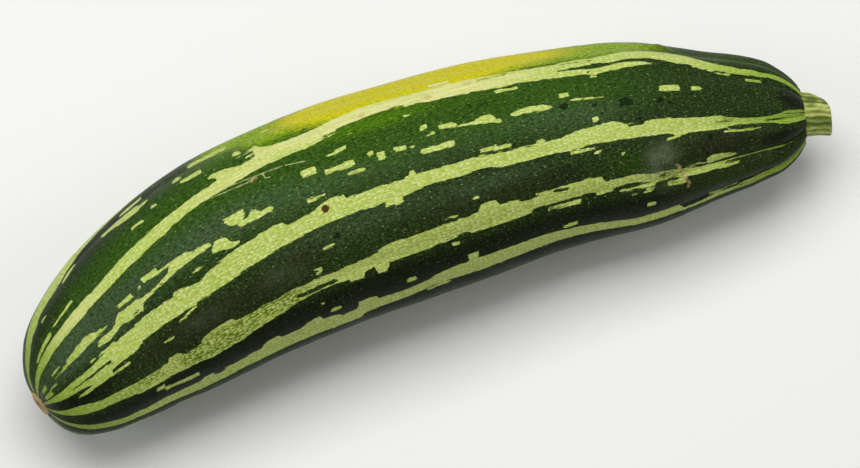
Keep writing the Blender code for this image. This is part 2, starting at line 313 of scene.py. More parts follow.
# Pale stripes: (station, low angle, high angle), joined by straight edges
stripes = (
    # far side, over the top of the bend
    ((-4, 46, 60), (8, 50, 66), (12, 53, 69), (16, 53.6, 71), (17, 56.5, 72), (24, 59, 75),
     (30, 59.8, 77), (33, 61.8, 79), (40, 65.8, 82), (50, 69.3, 85), (64, 74, 88), (90, 80, 91),
     (120, 84, 95), (160, 86, 97), (200, 88, 98), (240, 88, 98), (276, 84, 94)),
    ((30, 52.6, 54.6), (32, 53.4, 58), (34, 54.8, 59.8), (36.4, 57, 60)),
    ((47.8, 55, 58.6), (48.2, 53.2, 58.4), (51.6, 53, 58), (54, 50.4, 58.2), (57, 48.8, 58),
     (61.5, 48.7, 57.6), (61.8, 50, 54.4), (64.9, 51, 54.6)),
    # cream stripe
    ((-4, 14, 22), (3, 18.5, 28.5), (5, 20, 30.5), (10, 19, 28.6), (20, 18, 27), (30, 18, 26.5),
     (35, 17.5, 25), (40, 17.5, 26), (50, 19, 27.5), (55, 20, 28.5), (60, 21, 29.5),
     (66, 23, 31), (75, 26.2, 33), (80, 26.6, 33.8), (84, 27.4, 34.6), (84.6, 27.5, 37.6),
     (91, 29, 37.4), (97, 30.2, 38.6), (97.3, 30.2, 46.8), (98.6, 30.2, 46), (99.4, 30.3, 43.2),
     (103, 30.4, 41), (110, 30.2, 40), (114, 30.4, 40.3), (116.6, 31.2, 41), (117, 33.5, 41.2),
     (120, 34.6, 42.2), (124, 36.2, 43.8), (130, 37.4, 45.6), (135, 38.4, 45.8),
     (143, 38.4, 45.4), (144.4, 37, 45.2), (150, 36, 45.3), (160, 34.5, 45), (170, 33.6, 44),
     (180, 33.6, 43.5), (191, 33.6, 43.6), (192.4, 38.4, 43.8), (195, 38.6, 45.4), (200, 39.2, 46),
     (203.4, 39.6, 46.4), (204, 40.6, 46.6), (206.6, 40.6, 47.2), (207.4, 39.6, 47.6),
     (214, 41.5, 50.5), (222, 42.2, 52.5), (230, 39.8, 53), (235, 39.5, 51), (240, 37, 45),
     (245, 35.5, 42.5), (250, 34, 40), (255, 34, 39.5), (258, 34.5, 38.5),
     (262, 35, 40), (268, 34.5, 40), (276, 33, 40)),
    ((82, 38.4, 41.2), (84.6, 36, 40.8), (87, 36, 40.4), (89.6, 36, 38.6), (91, 36, 37.4)),
    ((92, 43, 44.4), (94, 43.4, 45), (97.8, 43.6, 46)),
    ((114, 30.6, 32), (117.5, 31.4, 33), (120.6, 32.2, 33)),
    ((188, 33.5, 37.5), (197, 32.8, 36.8), (205, 32.4, 36.6), (212, 34, 38.6), (218, 35.8, 39),
     (223, 37, 38.2)),
    ((236, 37.6, 38.4), (240, 35.6, 36.8), (244, 33.4, 34.6), (247.5, 31.8, 33.2)),
    # middle stripe
    ((-4, -19, -11), (3, -20.4, -13), (8, -20.4, -12.6), (19, -20.4, -12.3), (25, -20.3, -10.7),
     (42, -20.3, -10.2), (46, -20.3, -9.4), (57.4, -20, -9.8), (57.8, -20, -8.7),
     (60.4, -19.9, -8.5), (62.2, -19.8, -9.4), (62.8, -19.8, -10.4),
     (66, -19.7, -10.6), (70, -19.4, -8.6), (80, -17.6, -6.2), (87.3, -15.8, -5.4),
     (88, -15.6, -3.6), (96.4, -14.4, -3.4), (97.2, -14, -5.7), (105, -13.6, -5),
     (107, -13.5, -4.4), (109, -13.2, -2.9), (113, -12.8, -2), (117, -12.6, -2.2), (117.6, -12.4, -4.6),
     (121.6, -12.3, -4), (133, -12.3, -3.5), (140, -11, -3.5), (150, -10.8, -3.5),
     (160, -11, -4.5), (168, -13.3, -6), (180, -13.5, -6), (188, -13, -5.6), (189.4, -13, -4),
     (200, -12.5, -2.5), (206, -12.3, -1.3), (210, -12, -3.4), (225, -12.6, -3),
     (226, -14.4, -3.6), (242.4, -14.6, -4.5), (244, -13.4, -6.4), (247, -13.4, -7.6),
     (252, -14, -9), (258, -14.8, -8.6), (261, -16.5, -7.5), (264, -19, -4.5), (269, -20, -3),
     (276, -21, -3)),
    ((4, -21.4, -20), (12, -22.4, -20), (15, -24.5, -20), (18, -27.6, -20), (21.5, -27.6, -20),
     (22.5, -24.3, -20), (28, -23.2, -20), (33, -22.6, -20), (37, -20.8, -20)),
    ((9.5, -27.8, -26.6), (12, -28.8, -25.6), (15, -27.8, -25.4), (18, -28, -26)),
    ((21, -27.8, -26.6), (25, -28, -25.8), (28.5, -27.2, -25.6)),
    ((19, -10.8, -10), (24, -10.6, -9.3), (29, -10.4, -9.6)),
    # lower stripe
    ((-4, -42, -30), (3, -44, -37), (8, -48.3, -35.8), (12, -49.8, -40), (16, -49.4, -42),
     (23, -50.4, -42.2), (25, -52.4, -42.8), (35, -52.4, -42.8), (40, -52, -42),
     (41.5, -52, -39.6), (47, -52, -39.6), (49, -52, -42.4), (56, -53.4, -42),
     (57.5, -53.4, -38.6), (68.4, -52.4, -37.2), (69.4, -51.8, -40.4), (76, -50.6, -40),
     (85, -48.6, -39.4), (92, -46.6, -38.6), (96, -46, -37.9), (100, -45.9, -38.4),
     (109, -45.8, -38), (110, -48, -38), (114.4, -48, -37.8), (115.4, -44.2, -37.6),
     (119.2, -43.6, -37.4), (119.8, -48.6, -37), (123.5, -48.5, -36.2), (124.3, -44, -34),
     (135, -43.8, -33.5), (142, -43, -33), (150, -41.5, -32.5), (152, -43, -32.5),
     (155.6, -43.5, -32.5), (156.4, -43.5, -28.8), (161.3, -43.5, -28.6), (162, -43.6, -32.5),
     (168, -44, -32.6), (169.5, -44, -34.6), (173, -43, -34.8), (182, -41.4, -32.4),
     (191, -41, -31.6), (194, -40.6, -30.4), (199.5, -41.6, -32), (201, -41.4, -35),
     (210, -39.6, -34.6), (214, -41, -35.2), (218, -42.6, -36), (224, -42.6, -36.4),
     (229, -44.6, -38), (231, -45.2, -39.6), (236, -46.2, -40.8), (240, -45.8, -41.6), (242, -43.6, -42)),
    ((122, -36, -34.4), (125, -36, -33.4), (130, -36, -33)),
    ((229, -38, -36.4), (234, -38.2, -36.8), (237, -39.4, -38.6)),
    # belly stripe
    ((-4, -62, -52), (4, -71, -62), (9, -77, -67), (15, -80, -72), (20, -79.5, -72.3),
     (30, -79, -71), (40, -80, -71), (46, -79.5, -70), (49, -79, -67.5), (56, -79, -66.8),
     (58, -79, -69), (71, -79, -67.4), (73, -79, -64.6), (76, -79, -62.8), (79.4, -79, -62.8),
     (80.2, -79, -66.4), (88, -79, -66), (91, -79, -63), (95.5, -79.5, -61.8),
     (96.2, -80, -65.8), (101.4, -80, -67), (102.6, -80, -70), (108.8, -80, -69.4),
     (109.6, -79, -63.2), (110.4, -76.8, -63), (116.6, -76.2, -62.6), (117.4, -76, -66.8),
     (128, -75, -67), (134, -74, -65.6), (138, -74, -62.5), (145, -73.5, -60.4),
     (165, -74, -60.8), (180, -73, -61.5), (190, -74, -63.5), (198, -75.5, -65.5),
     (205, -77, -68.4), (210, -77.5, -70.2), (215, -78, -70), (226, -77.5, -69.6),
     (228, -79, -76.5), (236, -79, -76), (247, -80, -75.5), (250, -80, -73.5), (258, -80, -73.8),
     (276, -80, -72)),
    ((236.5, -73.4, -71), (239, -74, -72), (247, -74, -72.8)),
    # thin stripes by the neck's creases
    ((242.6, -17.4, -16.6), (248, -18.8, -17.8), (251, -19.6, -17.6), (255.4, -19, -17.4)),
    ((236, -39, -35), (238, -39.4, -33.4), (241, -39.2, -34), (246, -38.6, -36)),
    ((239.6, -47, -44.8), (242, -47.2, -45), (246.8, -46.4, -45.4)),
    ((240, -43.4, -42), (250, -43, -41.2), (258, -43.4, -41.8), (262, -44.8, -43.6),
     (265.6, -45.6, -45)),
    ((54.6, -23.6, -22.6), (57, -23.4, -21.8), (60, -22.2, -20.8), (61.6, -21.8, -20.2)),
    # broken stripe between the cream and the middle ones
    ((10.4, 1, 2), (12, 0.6, 3.2), (13.4, 0.6, 3.4), (13.8, 0.6, 5.2), (18, 0.2, 5.6),
     (18.4, 0.2, 6.4), (23, 0.6, 6.2), (25.6, 0.8, 5), (26, 0.6, 3.2), (30, 0.4, 2), (31, 0.4, 1)),
    ((24, -5.5, -4), (26, -6.5, -2.5), (30, -7, -2.5), (33, -6, -2), (35, -5, 1),
     (36.5, -6, 1.8), (40, -6.5, 1), (46, -6, 1), (47.5, -3, 0), (50, -2.5, -0.5),
     (56, -1.6, 0), (60, -0.6, 2.5), (61.4, 0, 6.4), (67, 0.6, 6), (69, 1.2, 4.2),
     (74.5, 2, 4.2)),
    ((73.5, -2, -1), (76, -2.4, 3.4), (79, -4.4, 2.4), (80, -4.6, -1), (82.5, -4, -2.6)),
    ((80.8, 9, 10.8), (81.6, 6.2, 10.9), (85.6, 5, 10.9), (86.4, 6.8, 10.9), (87, 9.2, 10.8)),
    ((83, 3.2, 3.6), (85.6, 3.2, 6), (88.2, 3.2, 6.6), (88.9, 3.2, 8.6), (90.6, 3.3, 8.5),
     (91.4, 3.5, 6), (95, 4.4, 6.6), (95.8, 5.4, 6.2)),
    ((144, 6.2, 8), (146, 5, 8), (150, 4.6, 7.4), (154.5, 5, 7.8)),
    ((151.5, 15.8, 18.8), (156, 14.6, 18), (158, 14, 15.2), (162, 13.2, 14.8), (164, 12.6, 16.4),
     (168, 11.6, 16.4), (169, 10.2, 13), (170.5, 10.4, 12.4)),
    ((173.5, 12, 14.2), (178, 12, 15.6), (184, 12, 16), (187.5, 12.6, 13.6)),
    ((194, 14.8, 16), (199, 14.2, 15.4), (205, 13.6, 14.6)),
)

# Short pale dashes: (start, end, low angle, high angle)
dashes = (
    (7.7, 10.8, 5.9, 7.5), (3, 4.5, 2, 8), (2.8, 4.8, -10.5, -4), (4.8, 7, -3.2, -1.6), (7.8, 10, 2, 2.9),
    (7, 16.5, 31, 34.4), (18, 28, 32.8, 34.6), (17, 19.6, 46.6, 49), (38, 45.4, 3.4, 5.6),
    (49.3, 50.7, 4.4, 5.8), (52, 57.6, 5.6, 8.6), (57, 61.5, 5.4, 6.2), (65.5, 69.5, -5.6, -4.6),
    (55.4, 63.2, 61.8, 64.6), (73, 75.4, 52, 56.6), (75, 81, 46, 49.4), (65, 66.6, 43, 44.8),
    (57, 61.2, 38.2, 40), (94.4, 97.3, 40.6, 41.6), (91, 93.4, 46.6, 49.4), (78, 90, 60.8, 65),
    (101, 104, 60.4, 62.4), (106, 112, 0.4, 1.9), (107.5, 112, 13.6, 17.2),
    (114, 123.4, 10.6, 13.4), (120, 126, 6.4, 8), (115.6, 120, 20.2, 21.4),
    (119, 122.4, 21.2, 22.8), (128, 129.6, 13.2, 15), (130.6, 133.2, 9, 13),
    (136.4, 140, 10.6, 13), (141.4, 142.6, 9.8, 11), (146, 148.4, 18.6, 21),
    (147.4, 150, 14.4, 15.8), (190.5, 194, 18.4, 21), (200, 201.6, 0.8, 2.6),
    (202.5, 204.4, 30, 31.4), (223, 229.8, 15, 19), (234, 237, 16, 18.6),
    (171.5, 178.6, 29.8, 31.4), (143, 145, 30, 31.2), (161, 166, -2.6, -1.4),
    (165, 170.6, -3.6, -2.6), (179.5, 182, -5.2, -3.8), (138.2, 140.2, -3.8, -1),
    (128.4, 134, -14.8, -12), (18.7, 20.4, -10.3, -9.2), (44.5, 50, -28.8, -28.1), (104.8, 109, -25, -23.5),
    (99.6, 102.4, -33.8, -33), (99.8, 101.4, -36, -35.3), (144.5, 149, -31, -30), (155, 156.8, -25, -23.8),
    (190, 199, -15.4, -14.4), (198.6, 201, -17.6, -16.4), (207.4, 208.4, -21, -20.1),
    (223.2, 227.6, -16.3, -15.7), (178.4, 191, -45.2, -43), (197.4, 203, -42.6, -41),
    (205.6, 209, -44, -43), (208, 213, -45, -43.8), (212, 218, -44.8, -43),
    (213.4, 217.2, -48, -46.8), (209.4, 211.2, -48, -46.8), (222, 228.4, -48, -44.8),
    (175, 179.5, -33.6, -32.6), (145, 147.6, -46.8, -45.4), (29.6, 33, -58, -55.4),
    (32, 48.6, -62, -59), (99.6, 103.2, -61.8, -59.4), (128.6, 131.6, -60.8, -57.6),
    (149, 152.6, -60.4, -56), (183.5, 189, -60.2, -58), (214.4, 217.4, -59, -56),
    (97.4, 99, -54.6, -53.4), (134, 142, -76, -74.6), (252, 257, 27, 31),
    (153.4, 160.2, 47.3, 49.3),
)

dashWidening = 0.15  # degrees added on each side, for a thin dash shrinks between the vertices

# Dark slits that split the pale stripes, given as the dashes are
slits = (
    (91, 105.5, -44.5, -42.8), (172.6, 183, -43, -41.6), (181.5, 187, -35.2, -33.8),
    (211, 216, -5, -4.2), (52.6, 57, -71.6, -68.4), (9.6, 24, -18.7, -17.8), (134, 144, -73.6, -72.2),
    (167.5, 176.5, 41.4, 42.6), (193.6, 204, 42.8, 43.8), (40.6, 44, -5.1, -4.5), (34.4, 38, -1.7, -1),
    (219.5, 221.5, -40, -38.4), (222, 225, -44.4, -43), (247, 253, -77, -75.8),
    (257, 264, -12.8, -12), (263, 271, -7.8, -7), (240, 246, -9.6, -9.2),
)

# Stripes of the same kind on the side that faces away, from seeded draws
hiddenStripes = {
    "centres": (110, 136, 160, -104, -131, -158),
    "halfWidth": (2.2, 5.4),
    "wander": 1.9,
    "step": 8,
    "dashes": 80,
    "dashSpan": (92, 272),  # angles, past 180 to the belly stripe
    "dashLength": (2, 11),
    "dashHalfWidth": (0.6, 1.7),
    "overrun": (4, 12),  # how far the stripes run past the chord's start and the fruit's end
    "dashMargins": (6, 18),  # how far from the chord's start and the fruit's end a dash starts
    "seed": 12,
}

# Soft patches of another tint: (station, angle, half length, half width in degrees, strength)
tints = {
    # nearBlackAndShade: painted shade along the whole lower flank, between the middle and lower stripes at
    # the blossom end and in the hollow at the stem's shoulder, and darker skin above the cream stripe
    # towards the blossom end
    "nearBlackAndShade": ((136, -66, 230, 27, 2.5), (268, 12, 9, 18, 2.2), (262, -30, 14, 12, 1.2),
            (243, -27, 20, 16, 0.9), (186, -26, 10, 8, 0.7), (46, 60, 34, 14, 1.0),
            (20, 44, 24, 12, 0.7), (45, 40, 20, 10, 0.5), (42, 52, 30, 12, 0.8),
            (9, -31, 20, 14, 1.4)),
    "green": ((98, 24, 132, 40, 1.6), (172, 22, 70, 36, 1.4), (80, 112, 190, 48, 1.0)),
    "leaf": ((132, 33, 36, 9, 1.1), (160, 30, 24, 8, 0.2), (92, 52, 30, 14, 0.7),
             (106, 46, 14, 9, 1.6), (245, -58, 30, 14, 0.2), (212, -28, 22, 12, 0.12),
             (250, 58, 26, 16, 0.3)),
    # paintedSheen: a painted sheen, the bluish grey reflection of the overhead light along the upper middle
    # of the fruit
    "paintedSheen": ((26, 5, 48, 19, 2.3), (70, 9, 60, 16, 1.0), (120, -18, 44, 10, 0.6), (160, -19, 34, 8, 0.7),
              (190, 6, 30, 14, 0.6)),
    "umber": ((60, -31, 60, 12, 1.0), (165, -27, 50, 9, 0.65), (95, -24, 24, 8, 0.7),
              (240, -26, 26, 14, 0.9), (250, -48, 26, 14, 0.5)),
    "olive": ((104, 56, 18, 18, 1.5), (96, 68, 26, 20, 1.3), (200, 64, 44, 30, 1.5),
              (188, 50, 16, 9, 1.0), (216, 60, 22, 22, 0.8)),
    "yellow": ((128, 60, 34, 28, 2.0), (152, 58, 50, 26, 2.4), (172, 64, 46, 27, 1.5)),
    "cream": ((140, 40, 62, 12, 2.0), (88, 31, 26, 8, 0.6), (226, 46, 22, 10, 0.3),
              (24, 23, 18, 9, 0.6), (157, 48.5, 9, 4, 1.5), (98, 40, 16, 9, 0.7)),
    "moss": ((60, -46, 26, 9, 2.4), (84, -43, 20, 7, 2.0), (28, -46, 24, 7, 1.0),
             (150, -38, 60, 10, 0.32), (196, -38, 40, 9, 0.32), (60, -14, 60, 9, 0.2),
             (223, -40, 9, 6, 1.5), (222, -46, 7, 4, 1.4), (244, -8, 3, 4, 1.6)),
    "haze": ((220.6, -26.5, 9, 14, 1.05), (219, -36, 11, 9, 0.8), (20, 12, 16, 9, 0.2),
             (90, -28, 12, 10, 0.3), (60, -30, 16, 8, 0.25), (222, -49, 8, 6, 0.3)),
    "cork": ((93.5, 25.1, 1.0, 1.6, 2.0), (97, 25.6, 0.8, 1.8, 1.2), (130, 39.4, 2.2, 2.4, 1.6),
             (152, 38.8, 2.8, 3, 1.2), (165, 41.6, 4, 3, 1.0), (116.8, 36, 1.4, 1.8, 1.1),
             (125, 30.4, 1.8, 1, 1.0), (264, 14, 1, 1.6, 0.8), (85.6, -36.6, 1, 1.2, 0.6),
             (103, -29.4, 1.2, 1.4, 0.7), (226.4, -37, 1.6, 5, 0.9), (228.4, -45, 1.6, 6, 1.0)),
    "stain": ((110.3, -5.6, 1.8, 3.0, 2.0), (202.2, 34, 0.8, 1.3, 1.5),
              (147, 20.6, 0.6, 0.8, 0.8)),
    # bruiseAndCreaseShade: dark bruises and spots, and painted shade along the neck's creases at (269.5,
    # -20) and (262, -45.5)
    "bruiseAndCreaseShade": ((211.5, 9.6, 3.4, 4.4, 2.0), (191, 12, 2.6, 3.8, 1.5), (201.4, 10, 1.6, 1.8, 1.6),
               (222.6, 8.8, 2.2, 2.8, 1.6), (225.8, 6.6, 1.2, 2.2, 1.5), (215, -1.4, 1.4, 1.6, 1.7),
               (221, -1.4, 1.2, 1.2, 1.5), (188, 3.4, 1.2, 1.2, 1.3), (186, 1.4, 1.4, 1.0, 1.2),
               (203, 4.4, 1.8, 1.0, 1.1), (219, 7.4, 0.8, 1.2, 1.3), (243, 26.4, 1, 3, 1.2),
               (237.8, -19.6, 1.3, 5, 2.2), (110.8, -20.8, 1.5, 2.8, 3), (240.4, -18, 0.7, 3, 1.2),
               (244.6, -9, 1.6, 2.6, 0.8), (165, 24, 14, 7, 0.5), (269.5, -20, 3, 4, 2.0),
               (262, -45.5, 8, 2, 1.0)),
}
freshEnds = ((32, 0), (228, 264))  # stations between which the pale stripes turn green at each end

# Fine healed scratches, as lines through (station, angle) places
scratches = {
    "pale": (
        ((80.5, 26.2), (88, 24.8), (92.5, 24.5)),
        ((83, 28.2), (92.5, 26.7), (96, 26), (103, 25.3)),
        ((104.3, 24.8), (109.8, 22.4)),
        ((97, 26), (97, 22.4), (98.4, 21.9)),
        ((92.8, 23.8), (94.2, 26.2)),
        ((242.6, -12.8), (244.8, -16.6)),
    ),
    "tan": (
        ((225.4, -33.6), (226.6, -35.6), (226.8, -40), (227.6, -44), (228.6, -47), (229.6, -49.6),
         (229, -53)),
        ((92.6, 25.2), (94.6, 25)),
    ),
    "halfWidths": {"pale": 0.36, "tan": 0.85},
    "colours": {"pale": (0.46, 0.50, 0.20), "tan": (0.40, 0.29, 0.14)},
    "shares": {"pale": 0.8, "tan": 0.62},
    "core": 0.15,  # share of the half width that has the full colour
    "wander": 0.5,
}

skin = {
    "roughness": (0.36, 0.46),
    "specular": 0.04,
    # torn edges of the stripes: (length of a step, width, how far it moves the edge)
    "edgeSteps": ((5.5, 1.3, 0.46), (1.6, 0.45, 0.36)),
    "edgeSoftness": 0.12,
    "darkColours": ((0.007, 0.016, 0.0025), (0.023, 0.044, 0.010)),
    # the tints of the dark skin, laid over it in this order: (colour, share)
    "darkTints": {
        # near-black: painted shade on the lower flank and in hollows, and darker skin in a few places
        "nearBlackAndShade": ((0.0062, 0.0105, 0.0032), 1),
        "green": ((0.026, 0.067, 0.0060), 1),
        "leaf": ((0.052, 0.130, 0.0025), 1),
        # painted sheen of the overhead light, laid over the dark skin
        "paintedSheen": ((0.037, 0.064, 0.027), 0.8),
        "umber": ((0.020, 0.021, 0.009), 0.85),
    },
    "oliveColour": (0.19, 0.31, 0.005),
    "yellowColours": ((0.30, 0.35, 0.003), (0.53, 0.485, 0.0015)),
    "grain": (1.5, 0.5, 0.42, 1.75),  # length, width, and how dark and how light it makes the skin
    "dots": (1.3, 0.8, 0.4, 0.42),  # cell length, cell width, dot radius, share
    "dotCore": 0.35,  # share of a dot's radius that has the full colour
    "dotsInNearBlackAndShade": 0.35,  # share of the dots that the near-black parts, painted shade among them, and the umber parts keep
    "dotColour": (0.11, 0.17, 0.055),
    "flecks": (3.4, 2.2, 0.12, 0.6),  # as the dots
    "fleckColour": (0.30, 0.38, 0.13),
    # near-black of the bruises and of the painted crease shade by the neck
    "bruiseAndCreaseShadeColour": (0.003, 0.010, 0.0015),
    "weave": (1.6, 0.5),  # length and width of a pale grain
    # sizes of the patterns that lie over the whole piece, in metres
    "sizes": {"clouds": 0.022, "bruiseAndCreaseShade": 0.0011, "mottle": 0.004, "wax": 0.009, "dimples": 0.0015},
    # length along the fruit and width round it of the others, in mm
    "wave": (9, 6),
    "streaks": (11, 1.1),
    "patchGrain": (4, 0.8),
    "flakes": (1.2, 0.7),
    "waveReach": 1.2,  # how far the wave bends the rows of pale grains
    # how far a pattern breaks up the edge of a patch, and the most that a tint then covers
    "ragged": {"olive": 0.6, "yellow": 0.9, "bruiseAndCreaseShade": 2.2, "cork": 1.2},
    "shares": {"bruiseAndCreaseShade": 0.85, "cork": 0.65, "moss": 0.4, "shade": 0.35, "cream": 0.45},
    "paleColours": ((0, (0.35, 0.45, 0.075)), (0.45, (0.46, 0.55, 0.14)), (1, (0.65, 0.71, 0.31))),
    "paleShade": (0.37, 0.47, 0.085),
    "mossColour": (0.12, 0.17, 0.012),
    "freshColour": (0.19, 0.31, 0.022),
    "creamColour": (0.66, 0.65, 0.28),
    "hazeColour": (0.14, 0.165, 0.105),
    "corkColour": (0.50, 0.37, 0.13),
    "stainColour": (0.075, 0.030, 0.010),
    "relief": {"grains": 0.2, "dots": 0.2, "raised": 0.45},
    "roughened": 0.25,  # by cork and scratches
    "bump": (0.55, 0.00024),  # strength and distance
}


def lineAt(tree, spot, line, halfWidth):
    # 1 on a thin line through (station, angle) places, and 0 off it
    perDegree = fruit["mmPerDegree"]
    points = [Vector((station, (angle + 180) * perDegree, 0)) for station, angle in line]
    nearest = None
    for start, end in zip(points, points[1:]):
        run = end - start
        off = vectorCalc(tree, "SUBTRACT", spot, start)
        along = vectorCalc(tree, "DOT_PRODUCT", off, run / run.length_squared)
        held = times(tree, along, 1, True)
        foot = addNode(tree, "ShaderNodeVectorMath", {0: run, "Scale": held}, operation="SCALE")
        away = vectorCalc(tree, "DISTANCE", off, foot.outputs[0])
        nearest = away if nearest is None else calc(tree, "MINIMUM", nearest, away)
    return between(tree, nearest, halfWidth, halfWidth * scratches["core"])


def tornEdge(tree, flat):
    edge = painted(tree, "stripe")
    for length, width, reach in skin["edgeSteps"]:
        _, step = flatCells(tree, flat, length, width, 0.8, "CHEBYCHEV")
        edge = nudged(tree, edge, step, reach)
    return between(tree, edge, -skin["edgeSoftness"], skin["edgeSoftness"])


def darkSkin(tree, flat, clouds, tint):
    colour = blendColour(tree, clouds, *skin["darkColours"])
    # the tints laid over the dark skin include painted shade and a painted sheen
    for name, (tintColour, share) in skin["darkTints"].items():
        colour = blendColour(tree, times(tree, tint[name], share, True), colour, tintColour)

    # yellow patch, through olive to green at its edges
    patchGrain = flatNoise(tree, flat, *skin["patchGrain"], 4, 0.6)
    olive = nudged(tree, tint["olive"], patchGrain, skin["ragged"]["olive"])
    yellow = nudged(tree, tint["yellow"], patchGrain, skin["ragged"]["yellow"])
    colour = blendColour(tree, between(tree, olive, 0.1, 1.0), colour, skin["oliveColour"])
    colour = blendColour(tree, between(tree, yellow, 0.15, 0.55), colour, skin["yellowColours"][0])
    colour = blendColour(tree, between(tree, yellow, 0.45, 1.0), colour, skin["yellowColours"][1])

    length, width, darkest, lightest = skin["grain"]
    grain = flatNoise(tree, flat, length, width, 2, 0.65)
    shade = spread(tree, grain, darkest, lightest)
    calm = between(tree, tint["yellow"], 0.1, 0.9, 0, 0.6)
    shaded = blendColour(tree, 1.0, colour, shade, "MULTIPLY")
    return blendColour(tree, calm, shaded, colour)


def withDots(tree, flat, colour, kind, dotColour, kept):
    # pinpoint spots of many strengths, fewer where kept is low; gives the colour and where they are
    length, width, radius, share = skin[kind]
    away, chance = flatCells(tree, flat, length, width)
    dot = between(tree, away, radius, radius * skin["dotCore"])
    dot = times(tree, dot, between(tree, chance, 0.35, 1.0, 0, share))
    dot = times(tree, dot, kept)
    return blendColour(tree, dot, colour, dotColour), dot


def paleSkin(tree, flat, tint):
    # light grains that lie lengthwise, with green between them
    shares = skin["shares"]
    wave = flatNoise(tree, flat, *skin["wave"], 2)
    bend = addNode(tree, "ShaderNodeCombineXYZ", {"Y": times(tree, wave, skin["waveReach"])})
    woven = vectorCalc(tree, "ADD", flat, bend.outputs[0])
    away, chance = flatCells(tree, woven, *skin["weave"], 0.9)
    grains = times(tree, between(tree, away, 0.72, 0.1), between(tree, chance, 0, 0.8, 0.4, 1))
    shade = flatNoise(tree, flat, *skin["streaks"], 4)
    colour = colourRamp(tree, grains, skin["paleColours"])
    shady = between(tree, shade, 0.4, 0.75, 0, shares["shade"])
    colour = blendColour(tree, shady, colour, skin["paleShade"])
    colour = blendColour(tree, times(tree, tint["moss"], shares["moss"]), colour, skin["paleShade"])
    gaps = between(tree, calc(tree, "ADD", grains, shade), 1.25, 0.55)
    colour = blendColour(tree, times(tree, tint["moss"], gaps), colour, skin["mossColour"])
    fresh = times(tree, painted(tree, "fresh"), between(tree, grains, 0, 1, 0.95, 0.6))
    colour = blendColour(tree, fresh, colour, skin["freshColour"])
    creamy = times(tree, tint["cream"], between(tree, shade, 0.38, 0.62, 1, shares["cream"]), True)
    return blendColour(tree, creamy, colour, skin["creamColour"]), grains


def skinMaterial():
    material, tree, shader = newMaterial("zucchiniSkin")
    shader.inputs["Specular IOR Level"].default_value = skin["specular"]
    tint = {name: painted(tree, name) for name in tints}
    sizes, ragged, shares = skin["sizes"], skin["ragged"], skin["shares"]
    place = objectPlace(tree)
    flat = flatPlace(tree, fruit["end"], 360 * fruit["mmPerDegree"])
    clouds = noiseAt(tree, place, sizes["clouds"], 4)

    pale = tornEdge(tree, flat)
    dark = darkSkin(tree, flat, clouds, tint)
    # the near-black parts, painted shade among them, and the umber band keep fewer dots
    blackest = calc(tree, "MAXIMUM", tint["nearBlackAndShade"], tint["umber"])
    kept = between(tree, blackest, 0, 1, 1, skin["dotsInNearBlackAndShade"])
    dark, dots = withDots(tree, flat, dark, "dots", skin["dotColour"], kept)
    dark, _ = withDots(tree, flat, dark, "flecks", skin["fleckColour"], kept)
    # dark bruises, and painted shade in the neck's creases
    bruiseAndCreaseShade = nudged(tree, tint["bruiseAndCreaseShade"], noiseAt(tree, place, sizes["bruiseAndCreaseShade"], 3), ragged["bruiseAndCreaseShade"])
    bruiseAndCreaseShade = between(tree, bruiseAndCreaseShade, 0.35, 0.8, 0, shares["bruiseAndCreaseShade"])
    dark = blendColour(tree, bruiseAndCreaseShade, dark, skin["bruiseAndCreaseShadeColour"])
    stripe, grains = paleSkin(tree, flat, tint)
    colour = blendColour(tree, pale, dark, stripe)

    mottle = noiseAt(tree, place, sizes["mottle"], 4, 0.65)
    hazy = times(tree, tint["haze"], spread(tree, mottle, 0.15, 0.7))
    colour = blendColour(tree, hazy, colour, skin["hazeColour"])
    flakes = flatNoise(tree, flat, *skin["flakes"], 3, 0.6)
    cork = between(tree, nudged(tree, tint["cork"], flakes, ragged["cork"]), 0.35, 0.9)
    colour = blendColour(tree, times(tree, cork, shares["cork"]), colour, skin["corkColour"])
    drift = addNode(tree, "ShaderNodeCombineXYZ", {"Y": nudged(tree, 0.0, flakes, scratches["wander"])})
    spot = vectorCalc(tree, "ADD", flat, drift.outputs[0])
    raised = cork
    for kind in ("pale", "tan"):
        for line in scratches[kind]:
            scratch = lineAt(tree, spot, line, scratches["halfWidths"][kind])
            scratch = times(tree, scratch, between(tree, flakes, 0.3, 0.62, 0.2, 1))
            share = times(tree, scratch, scratches["shares"][kind])
            colour = blendColour(tree, share, colour, scratches["colours"][kind])
            raised = calc(tree, "MAXIMUM", raised, scratch)
    colour = blendColour(tree, between(tree, tint["stain"], 0.35, 0.6), colour, skin["stainColour"])

    rough = spread(tree, noiseAt(tree, place, sizes["wax"], 3), *skin["roughness"])
    rough = calc(tree, "ADD", rough, times(tree, raised, skin["roughened"]), True)

    # fine relief: the dimpled skin, its dots, the stripes' grains and the scratches
    dimples = noiseAt(tree, place, sizes["dimples"], 3, 0.6)
    relief = times(tree, dimples, between(tree, tint["umber"], 0, 1, 0.5, 0.8))
    patterns = {"grains": times(tree, grains, pale), "dots": dots, "raised": raised}
    for name, height in skin["relief"].items():
        relief = calc(tree, "ADD", relief, times(tree, patterns[name], height))
    dress(tree, shader, colour, rough, relief, skin["bump"])
    return material


def bodyRadius(station):
    share = min(max((station - fruit["start"]) / fruit["domeLength"], 0), 1)
    inner, outer = fruit["domePowers"]
    dome = (1 - (1 - share) ** inner) ** (1 / outer)
    return smoothThrough(fruit["bodyRadius"], station) * dome


def axisPoint(station):
    excess = bodyRadius(station) - fruit["endHeight"]
    resting = fruit["endHeight"] + (excess + math.hypot(excess, fruit["heightBlend"])) / 2
    turnedUp = max(1 - station / fruit["blossomLiftLength"], 0)
    height = resting - fruit["flatDepth"] + fruit["blossomLift"] * turnedUp ** 2
    return Vector((station, smoothThrough(fruit["axisPlan"], station), height))


